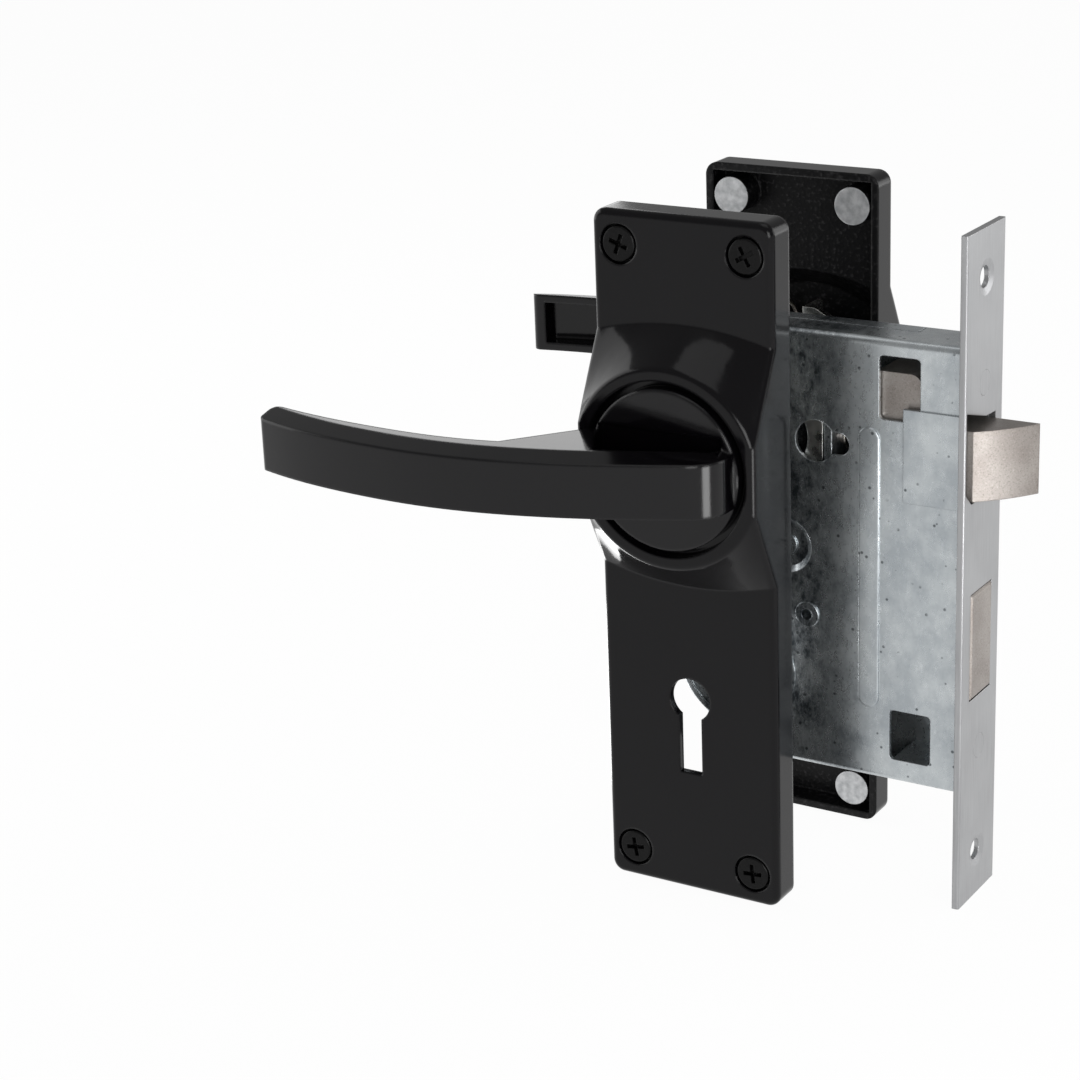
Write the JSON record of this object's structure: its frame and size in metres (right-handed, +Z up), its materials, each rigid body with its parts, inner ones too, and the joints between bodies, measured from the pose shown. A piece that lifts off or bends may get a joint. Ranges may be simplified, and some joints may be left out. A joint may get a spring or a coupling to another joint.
{
  "type": "mortise lockset",
  "caption": "Mortise lock with sprung latch, key-thrown deadbolt and a pair of lever handles on long plates.",
  "frame": {"origin": "centre of the forend's outer face, midway between its two screw holes", "axes": "+X out through the forend, +Y through the door, +Z up"},
  "size_m": [0.1594, 0.1342, 0.1587],
  "materials": {
    "satin_zinc": "satin plated steel",
    "zinc_sheet": "zinc plated sheet",
    "bright_zinc": "bright zinc plate",
    "spring_steel": "oiled wire",
    "black_enamel": "gloss black",
    "black_screw": "satin black",
    "sintered_iron": "sintered",
    "lever_brass": "stamped"
  },
  "bodies": {
    "root": {"forend": "satin_zinc", "forend_rivets": "satin_zinc", "case_tray": "zinc_sheet", "case_cover": "zinc_sheet", "case_pillars": "zinc_sheet", "centre_pillar": "zinc_sheet", "lever_post": "zinc_sheet", "lever_spacer": "zinc_sheet", "latch_guide": "zinc_sheet", "latch_spring": "spring_steel", "lever_springs": "spring_steel", "front_plate": "black_enamel", "back_plate": "black_enamel", "plate_screws": "black_screw", "front_return_spring": "spring_steel", "back_return_spring": "spring_steel"},
    "latch": {"latch_bolt": "sintered_iron", "crosshead": "bright_zinc"},
    "handle": {"follower": "sintered_iron", "spindle": "bright_zinc", "spindle_pins": "bright_zinc", "front_lever": "black_enamel", "back_lever": "black_enamel", "front_cam_plate": "bright_zinc", "back_cam_plate": "bright_zinc", "front_circlip": "spring_steel", "back_circlip": "spring_steel"},
    "bolt": {"deadbolt": "sintered_iron", "bolt_stump": "bright_zinc"},
    "detainer_1": {"lever_1": "lever_brass"},
    "detainer_2": {"lever_2": "lever_brass"},
    "detainer_3": {"lever_3": "lever_brass"}
  },
  "joints": [
    {"name": "handle_turn", "type": "hinge", "parent": "root", "child": "handle", "pos_m": [-0.057, 0, 0.0275], "axis": [0, -1, 0], "range_deg": [0, 42], "stiffness_Nm_per_rad": 0.6, "springref_deg": -20.05, "deforming": ["front_return_spring", "back_return_spring"]},
    {"name": "latch_slide", "type": "slide", "parent": "root", "child": "latch", "axis": [-1, 0, 0], "range_m": [0, 0.0101], "deforming": ["latch_spring"]},
    {"name": "deadbolt_throw", "type": "slide", "parent": "root", "child": "bolt", "axis": [1, 0, 0], "range_m": [0, 0.014], "deforming": ["lever_springs"]},
    {"name": "detainer_1_lift", "type": "hinge", "parent": "root", "child": "detainer_1", "pos_m": [-0.039, 0, -0.0137], "axis": [0, 1, 0], "range_deg": [0, 7.65]},
    {"name": "detainer_2_lift", "type": "hinge", "parent": "root", "child": "detainer_2", "pos_m": [-0.039, 0, -0.0137], "axis": [0, 1, 0], "range_deg": [0, 9.37]},
    {"name": "detainer_3_lift", "type": "hinge", "parent": "root", "child": "detainer_3", "pos_m": [-0.039, 0, -0.0137], "axis": [0, 1, 0], "range_deg": [0, 11.09]}
  ],
  "couplings": [
    {"joint": "latch_slide", "follows": "handle_turn", "m_per_rad": 0.013642},
    {"joint": "detainer_1_lift", "follows": "deadbolt_throw", "rad_per_m": 9.2857},
    {"joint": "detainer_2_lift", "follows": "deadbolt_throw", "rad_per_m": 11.429},
    {"joint": "detainer_3_lift", "follows": "deadbolt_throw", "rad_per_m": 13.571}
  ]
}
